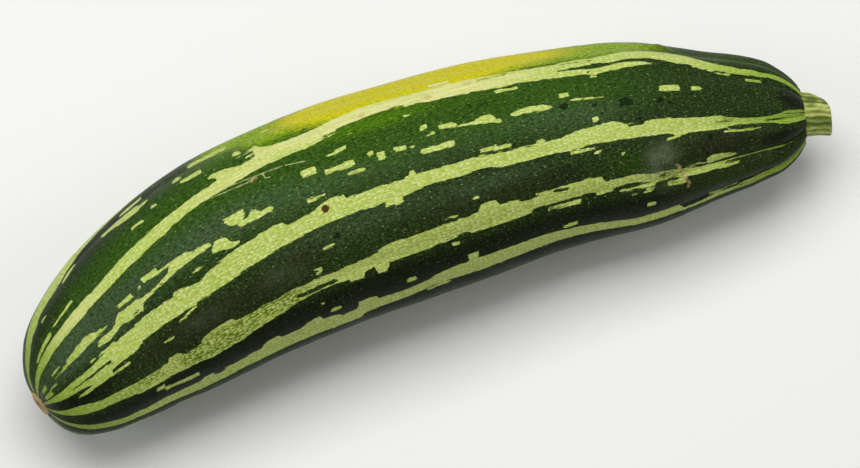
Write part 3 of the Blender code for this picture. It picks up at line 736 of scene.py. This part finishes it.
def sectionAt(station):
    # centre, forward, up and sideways of the cross-section
    step = 0.5
    inside = min(max(station, fruit["start"] + step), fruit["end"] - step)
    forward = (axisPoint(inside + step) - axisPoint(inside - step)).normalized()
    sideways = Vector((-forward.y, forward.x, 0)).normalized()
    end = min(max(station, fruit["start"]), fruit["end"])
    centre = axisPoint(end) + forward * (station - end)
    return centre, forward, forward.cross(sideways), sideways


def outwardAt(section, turned):
    # unit vector out from the axis, turned in radians from up
    _, _, up, sideways = section
    return math.cos(turned) * up + math.sin(turned) * sideways


def ribRelief(angle):
    # 1 - 2/pi on a crest, -2/pi in a crease
    starts = [crease - fruit["creases"][0] for crease in fruit["creases"]] + [360]
    turned = (angle - fruit["creases"][0]) % 360
    rib = bisect_right(starts, turned)
    share = (turned - starts[rib - 1]) / (starts[rib] - starts[rib - 1])
    return math.sin(math.pi * share) - 2 / math.pi


def grooveRelief(station, angle, radius):
    depth = 0
    for grooveAngle, start, deepest, halfWidth in neckGrooves:
        across = math.radians(abs(roundTo180(angle - grooveAngle))) * radius / halfWidth
        depth += deepest * smoothStep(start, fruit["end"], station) * smoothStep(1, 0, across)
    return -depth


def fruitRings():
    # (station, radius) of each ring, from the scar's seat to the stem's
    scarDepth, scarSeat = fruit["scarSeat"]
    stemDepth, stemSeat = fruit["stemSeat"]
    start, end = fruit["start"], fruit["end"]
    rings = [(start + scarDepth, 0), (start + scarDepth, scarSeat)]
    for ring in range(fruit["rings"] + 1):
        share = ring / fruit["rings"]
        crowded = 0.5 - 0.5 * math.cos(math.pi * share)
        station = start + (end - start) * (share + (crowded - share) * fruit["endSpacing"])
        rings.append((station, max(bodyRadius(station), scarSeat)))
    rings.append((end - stemDepth, stemSeat))
    rings.append((end - stemDepth, 0))
    return rings


def frameShift():
    # moves chord coordinates to the frame's, so that the smooth fruit fills its node's box
    low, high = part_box("fruit")
    edges = []
    for station, radius in fruitRings():
        centre, _, _, sideways = sectionAt(station)
        edges += [centre - sideways * radius, centre + sideways * radius]
    leftmost = min(edge.x for edge in edges) * mm
    middle = (min(edge.y for edge in edges) + max(edge.y for edge in edges)) / 2 * mm
    return Vector((low.x - leftmost, (low.y + high.y) / 2 - middle, 0))


def drawPits():
    draw = random.Random(pits["seed"])
    spots = []
    for _ in range(pits["count"]):
        place = draw.uniform(*pits["stations"]), draw.uniform(*pits["angles"])
        halfSize = draw.uniform(*pits["halfSize"])
        spots.append((*place, halfSize, halfSize * 0.8, -draw.uniform(*pits["depth"])))
    return spots


def drawHiddenStripes():
    draw = random.Random(hiddenStripes["seed"])
    shapes = []
    for centre in hiddenStripes["centres"]:
        points = []
        station = -hiddenStripes["overrun"][0]
        while station < fruit["end"] + hiddenStripes["overrun"][1]:
            middle = centre + draw.uniform(-1, 1) * hiddenStripes["wander"]
            half = draw.uniform(*hiddenStripes["halfWidth"])
            points.append((station, middle - half, middle + half))
            station += draw.uniform(0.5, 1.5) * hiddenStripes["step"]
        shapes.append(tuple(points))
    first, last = hiddenStripes["dashMargins"]
    for _ in range(hiddenStripes["dashes"]):
        start = draw.uniform(first, fruit["end"] - last)
        middle = roundTo180(draw.uniform(*hiddenStripes["dashSpan"]))
        half = draw.uniform(*hiddenStripes["dashHalfWidth"])
        end = start + draw.uniform(*hiddenStripes["dashLength"])
        shapes.append(asShape((start, end, middle - half, middle + half)))
    return shapes


def asShape(dash):
    start, end, low, high = dash
    low -= dashWidening
    high += dashWidening
    return ((start, low, high), (end, low, high))


def spanAt(shape, station):
    # low and high angle of a shape at a station, and how far inside its ends that is
    inside = min(station - shape[0][0], shape[-1][0] - station)
    held = min(max(station, shape[0][0]), shape[-1][0])
    index = next(i for i in range(len(shape) - 1) if held <= shape[i + 1][0])
    (s0, low0, high0), (s1, low1, high1) = shape[index], shape[index + 1]
    t = (held - s0) / (s1 - s0)
    return low0 + (low1 - low0) * t, high0 + (high1 - high0) * t, inside


def insideBy(spans, angle, outside):
    # how far inside the nearest of the spans an angle is, in mm
    best = outside
    for low, high, inside in spans:
        depth = min((angle - low) * fruit["mmPerDegree"], (high - angle) * fruit["mmPerDegree"], inside)
        best = max(best, depth)
    return best


def nearStation(shapes, station, margin):
    return [spanAt(s, station) for s in shapes if s[0][0] - margin < station < s[-1][0] + margin]


def paintFruit(mesh, layers, places):
    # writes the stripe, tint and end attributes on every vertex
    shapes = list(stripes) + [asShape(dash) for dash in dashes] + drawHiddenStripes()
    gaps = [asShape(slit) for slit in slits]
    margin = 3  # mm past a shape's ends where it still counts
    atStation = {}
    for station in {station for station, _ in places.values()}:
        patches = [(name, spot) for name, spots in tints.items() for spot in spots
                   if abs(station - spot[0]) < spot[2]]
        pale = nearStation(shapes, station, margin)
        atStation[station] = pale, nearStation(gaps, station, margin), patches
    blossomFresh, stemFresh = freshEnds
    for vertex in mesh.verts:
        station, angle = places[vertex.index]
        pale, split, patches = atStation[station]
        field = insideBy(pale, angle, -margin)
        vertex[layers["stripe"]] = min(field, -insideBy(split, angle, -margin))
        vertex[layers["fresh"]] = smoothStep(*blossomFresh, station) + smoothStep(*stemFresh, station)
        for name, (spotStation, spotAngle, halfLength, halfWidth, strength) in patches:
            across = roundTo180(angle - spotAngle) / halfWidth
            off = math.hypot((station - spotStation) / halfLength, across)
            if off < 1:
                vertex[layers[name]] = max(vertex[layers[name]], min(strength * smoothStep(1, 0, off), 1))


def reliefAt(point, station, angle, spots):
    # lumps over the whole skin, and the warts, dents and scratches, in mm
    height = sum(tall * noise.noise(point / size) for size, tall in fruit["lumps"])
    for markStation, markAngle, halfLength, halfWidth, tall in spots:
        along = (station - markStation) / halfLength
        across = roundTo180(angle - markAngle) * fruit["mmPerDegree"] / halfWidth
        height += tall * smoothStep(1, 0, math.hypot(along, across))
    return height


def makeFruit():
    rings = fruitRings()
    sections = [sectionAt(station) for station, _ in rings]
    ribHeights = [smoothThrough(fruit["ribHeights"], station) for station, _ in rings]
    allMarks = [*marks, *drawPits()]
    nearMarks = [[m for m in allMarks if abs(station - m[0]) < m[2]] for station, _ in rings]
    mesh = wrappedGrid(len(rings), fruit["sides"])
    skinMap = mesh.loops.layers.uv.verify()
    layers = {name: mesh.verts.layers.float.new(name) for name in ("stripe", "fresh", *tints)}
    places = {}
    for vertex in mesh.verts:
        ring, angle = ringAndAngle(vertex, len(rings))
        angle -= fruit["crowding"] * math.sin(math.radians(angle))
        station, radius = rings[ring]
        places[vertex.index] = station, angle
        for loop in vertex.link_loops:
            loop[skinMap].uv = station / fruit["end"], angle / 360 + 0.5
        centre = sections[ring][0]
        outward = outwardAt(sections[ring], math.radians(angle))
        faded = min(max((radius - fruit["riblessRadius"]) / fruit["ribFade"], 0), 1)
        relief = ribHeights[ring] * ribRelief(angle) + grooveRelief(station, angle, radius)
        relief += reliefAt(centre + outward * radius, station, angle, nearMarks[ring])
        point = centre + outward * (radius + relief * faded)
        vertex.co = point.x, point.y, max(point.z, 0)
    paintFruit(mesh, layers, places)
    return closeUp(mesh, "zucchiniFruit", skinMaterial())


# Stem

stem = {
    "radius": 7.1,
    "length": 10.8,
    "bend": 1.2,
    "gap": 0.3,
    # (share of the length, share of the radius)
    "profile": ((0, 0), (0, 0.4), (0, 0.8), (0, 1.04), (0.05, 1.05), (0.1, 1.06), (0.16, 1.07),
                (0.2, 1.06), (0.25, 1.045), (0.3, 1.03), (0.35, 1.02), (0.4, 1.01), (0.46, 1),
                (0.54, 1), (0.62, 1), (0.7, 1), (0.78, 1), (0.85, 1), (0.9, 1), (0.94, 0.995),
                (0.97, 0.975), (0.99, 0.945), (0.992, 0.9), (0.985, 0.84), (0.98, 0.76),
                (0.976, 0.68), (0.974, 0.6), (0.97, 0.5), (0.965, 0.4), (0.955, 0.3),
                (0.945, 0.2), (0.94, 0.1), (0.94, 0)),
    "sides": 180,
    "ridges": 5,
    "ridgeHeight": 0.25,
    "smallRidges": 21,
    "smallRidgeHeight": 0.2,
    "knotHeight": 0.3,
    "fibreHeight": 0.14,
    "cutSag": 0.12,
    "sagSize": 1.6,
    "wornCorner": (1.0, 0.3),  # how far the cut is worn back and narrowed on the side towards +Y
    "wornFrom": (0.35, 1.05),  # shares of the length between which that sets in
    "twist": 9,
    # how fine the noises of the relief are round the stem, and how far the small ridges sway
    "swayFineness": 1.7,
    "knotFineness": 2.4,
    "fibreFineness": 9,
    "sway": 2.4,
    # skin of the stem, from its furrows to its ridges
    "colours": ((0.1, (0.07, 0.115, 0.005)), (0.42, (0.16, 0.21, 0.022)), (0.68, (0.27, 0.32, 0.052)),
                (0.95, (0.46, 0.50, 0.14))),
    "cutColours": ((0.3, (0.34, 0.40, 0.16)), (0.7, (0.58, 0.60, 0.34))),
    "roughness": (0.5, 0.68),
    "fibres": (3.2, 0.55),  # length and width in mm
    "blotchSize": 0.0022,
    "cutGrain": 0.0009,
    "bump": (0.8, 0.00035),
}


def stemMaterial():
    material, tree, shader = newMaterial("cutStem")
    place = objectPlace(tree)
    flat = flatPlace(tree, stem["length"], 2 * math.pi * stem["radius"])
    fibres = flatNoise(tree, flat, *stem["fibres"], 4, 0.6)
    blotches = noiseAt(tree, place, stem["blotchSize"], 3)
    lightness = nudged(tree, painted(tree, "ridge"), fibres, 0.9)
    lightness = nudged(tree, lightness, blotches, 0.9)
    colour = colourRamp(tree, lightness, stem["colours"])
    face = colourRamp(tree, noiseAt(tree, place, stem["cutGrain"], 4), stem["cutColours"])
    colour = blendColour(tree, painted(tree, "cut"), colour, face)
    relief = calc(tree, "ADD", times(tree, fibres, 0.8), times(tree, blotches, 0.3))
    dress(tree, shader, colour, spread(tree, fibres, *stem["roughness"]), relief, stem["bump"])
    return material


def stemLift(turned, height):
    # ridges, knots and fibres over the stem's round, in mm
    def spot(rise, fineness):
        return Vector((math.cos(turned), math.sin(turned), height * rise)) * fineness

    big = math.cos(stem["ridges"] * turned)
    sway = stem["sway"] * noise.noise(spot(1.6, stem["swayFineness"]))
    small = math.cos(stem["smallRidges"] * turned + sway)
    knots = noise.noise(spot(1.4, stem["knotFineness"]))
    fine = spot(0.3, stem["fibreFineness"])
    fibres = noise.noise(fine) + 0.5 * noise.noise(fine * 2.3)
    lift = stem["ridgeHeight"] * big + stem["smallRidgeHeight"] * small
    return lift + stem["knotHeight"] * knots + stem["fibreHeight"] * fibres


def makeStem():
    base = fruit["end"] - fruit["stemSeat"][0] + stem["gap"]
    section = sectionAt(base)
    centre, forward, _, sideways = section
    wornBack, narrowed = stem["wornCorner"]
    profile = stem["profile"]
    mesh = wrappedGrid(len(profile), stem["sides"])
    skinMap = mesh.loops.layers.uv.verify()
    ridgeLayer = mesh.verts.layers.float.new("ridge")
    cutLayer = mesh.verts.layers.float.new("cut")
    rimRing = max(range(len(profile)), key=lambda i: (profile[i][0], profile[i][1]))
    for vertex in mesh.verts:
        ring, angle = ringAndAngle(vertex, len(profile))
        height, share = profile[ring]
        for loop in vertex.link_loops:
            loop[skinMap].uv = height, angle / 360 + 0.5
        turned = math.radians(angle + stem["twist"] * height)
        lift = stemLift(turned, height)
        outward = outwardAt(section, turned)
        radius = share * stem["radius"] + lift * min(share, 1)
        onFace = ring > rimRing
        sag = stem["cutSag"] * noise.noise(outward * radius / stem["sagSize"]) if onFace else 0
        cornering = max(outward.dot(sideways), 0) ** 1.5 * smoothStep(*stem["wornFrom"], height)
        radius *= 1 - narrowed * cornering
        worn = wornBack * cornering * share
        vertex[ridgeLayer] = smoothStep(-0.45, 0.45, lift)
        vertex[cutLayer] = onFace
        middle = centre + forward * (height * stem["length"] + sag - worn)
        vertex.co = middle - sideways * height ** 2 * stem["bend"] + outward * radius
    return closeUp(mesh, "cutStemStub", stemMaterial())


# Blossom scar

scar = {
    "radius": 4.2,
    "thickness": 1.6,
    "gap": 0.3,
    "profile": ((0, 0), (0, 0.5), (0, 1), (0.15, 1.04), (0.3, 1.05), (0.45, 1.04), (0.6, 1.02),
                (0.72, 0.98), (0.84, 0.93), (0.93, 0.87), (0.98, 0.8), (1, 0.72), (0.97, 0.64),
                (0.92, 0.55), (0.86, 0.46), (0.82, 0.37), (0.8, 0.28), (0.79, 0.2), (0.84, 0.14),
                (0.9, 0.08), (0.92, 0)),
    "sides": 120,
    "lobes": 5,
    "lobeHeight": 0.25,
    "wrinkleHeight": 0.12,
    "wrinkleFineness": 9,
    "colours": ((0.3, (0.20, 0.12, 0.04)), (0.5, (0.42, 0.30, 0.12)), (0.72, (0.62, 0.48, 0.24))),
    "hollowColour": (0.13, 0.075, 0.035),
    "hollowShare": 0.7,
    "hollowEdge": (0.62, 0.2),  # shares of the radius between which the hollow darkens
    "flakeSize": 0.0011,
    "roughness": (0.72, 0.9),
    "bump": (0.8, 0.0004),
}


def scarMaterial():
    material, tree, shader = newMaterial("blossomCork")
    flakes = noiseAt(tree, objectPlace(tree), scar["flakeSize"], 5, 0.65)
    colour = colourRamp(tree, flakes, scar["colours"])
    hollow = times(tree, painted(tree, "hollow"), scar["hollowShare"])
    colour = blendColour(tree, hollow, colour, scar["hollowColour"])
    dress(tree, shader, colour, spread(tree, flakes, *scar["roughness"]), flakes, scar["bump"])
    return material


def makeScar():
    section = sectionAt(fruit["start"] + fruit["scarSeat"][0] - scar["gap"])
    centre, forward, _, _ = section
    fineness = scar["wrinkleFineness"]
    profile = scar["profile"]
    mesh = wrappedGrid(len(profile), scar["sides"])
    hollowLayer = mesh.verts.layers.float.new("hollow")
    for vertex in mesh.verts:
        ring, angle = ringAndAngle(vertex, len(profile))
        height, share = profile[ring]
        turned = math.radians(angle)
        outward = outwardAt(section, turned)
        lobe = scar["lobeHeight"] * math.cos(scar["lobes"] * turned)
        wrinkle = scar["wrinkleHeight"] * noise.noise(outward * fineness + forward * height)
        radius = share * (scar["radius"] + lobe + wrinkle)
        depth = height * scar["thickness"] + wrinkle * 1.5 * share
        vertex[hollowLayer] = smoothStep(*scar["hollowEdge"], share) if ring > len(profile) / 2 else 0
        vertex.co = centre - forward * depth + outward * radius
    return closeUp(mesh, "blossomScar", scarMaterial())


# Studio

floorPaint = {
    "size": 4,  # half of a side, in metres
    "drop": 0.2,  # mm below the fruit's flat
    "colours": ((0.3, (0.80, 0.80, 0.79)), (0.7, (0.83, 0.83, 0.82))),
    "cloudSize": 0.3,
    "roughness": 0.75,
}


def makeFloor():
    mesh = bmesh.new()
    bmesh.ops.create_grid(mesh, x_segments=1, y_segments=1, size=floorPaint["size"])
    bmesh.ops.translate(mesh, vec=(0, 0, -floorPaint["drop"] * mm), verts=mesh.verts)
    material, tree, shader = newMaterial("paleFloorPaint")
    shader.inputs["Roughness"].default_value = floorPaint["roughness"]
    clouds = noiseAt(tree, objectPlace(tree), floorPaint["cloudSize"], 2)
    tree.links.new(colourRamp(tree, clouds, floorPaint["colours"]), shader.inputs["Base Color"])
    return asObject(mesh, "paleFloor", material)


camera = {
    "azimuth": -20.75,
    "elevation": 80,
    "distance": 1.0,
    "lens": 126.8,
    "sensor": 36,
    "farthest": 20,
    "target": (140.7, 7.2, 34),  # in mm from the chord's own start, as the shapes are
}


def viewAxes():
    # directions to the picture's right, its top and the camera
    azimuth = math.radians(camera["azimuth"])
    elevation = math.radians(camera["elevation"])
    level = Vector((math.sin(azimuth), -math.cos(azimuth), 0))
    toCamera = level * math.cos(elevation) + Vector((0, 0, math.sin(elevation)))
    right = Vector((math.cos(azimuth), math.sin(azimuth), 0))
    return right, toCamera.cross(right), toCamera


def aim():
    return Vector(camera["target"]) * mm + toFrame


def makeCamera():
    right, top, toCamera = viewAxes()
    data = bpy.data.cameras.new("camera")
    data.sensor_width = camera["sensor"]
    data.lens = camera["lens"]
    data.clip_end = camera["farthest"]
    eye = inScene("camera", data)
    turn = Matrix((right, top, toCamera)).transposed().to_4x4()
    eye.matrix_world = Matrix.Translation(aim() + toCamera * camera["distance"]) @ turn
    bpy.context.scene.camera = eye


lamps = {
    # name: (right, towards the picture's top, height, width, depth, watts, colour)
    "softboxTop": (-0.10, 0.40, 1.2, 1.0, 0.7, 15, (1.0, 0.99, 0.97)),
    "softboxLeft": (-1.0, -0.15, 0.9, 0.6, 0.6, 2.4, (0.96, 0.98, 1.0)),
    "softboxRight": (1.0, 0.1, 0.9, 0.6, 0.6, 2.5, (1.0, 0.98, 0.95)),
}
ambient = ((0.95, 0.97, 1.0), 0.2)  # colour and strength


def makeLights():
    right, top, _ = viewAxes()
    top = Vector((top.x, top.y, 0)).normalized()
    target = aim()
    for name, (aside, ahead, height, width, depth, watts, colour) in lamps.items():
        data = bpy.data.lights.new(name, "AREA")
        data.shape = "RECTANGLE"
        data.size = width
        data.size_y = depth
        data.energy = watts
        data.color = colour
        lamp = inScene(name, data)
        lamp.location = target + right * aside + top * ahead + Vector((0, 0, height))
        lamp.rotation_euler = (lamp.location - target).to_track_quat("Z", "Y").to_euler()
    world = bpy.data.worlds.new("paleRoom")
    world.use_nodes = True
    sky = world.node_tree.nodes["Background"]
    sky.inputs["Color"].default_value = (*ambient[0], 1)
    sky.inputs["Strength"].default_value = ambient[1]
    bpy.context.scene.world = world
    bpy.context.scene.view_settings.view_transform = "Standard"


toFrame = frameShift()
makeCamera()
makeLights()
makeFloor()
print("studio ready")

for node, slotName, piece in (
    ("fruit", "skin", makeFruit()),
    ("stem", "stem", makeStem()),
    ("blossom_scar", "scar", makeScar()),
):
    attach(piece, "root")
    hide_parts(node)
    print(piece.name, "made:", len(piece.data.polygons), "faces")
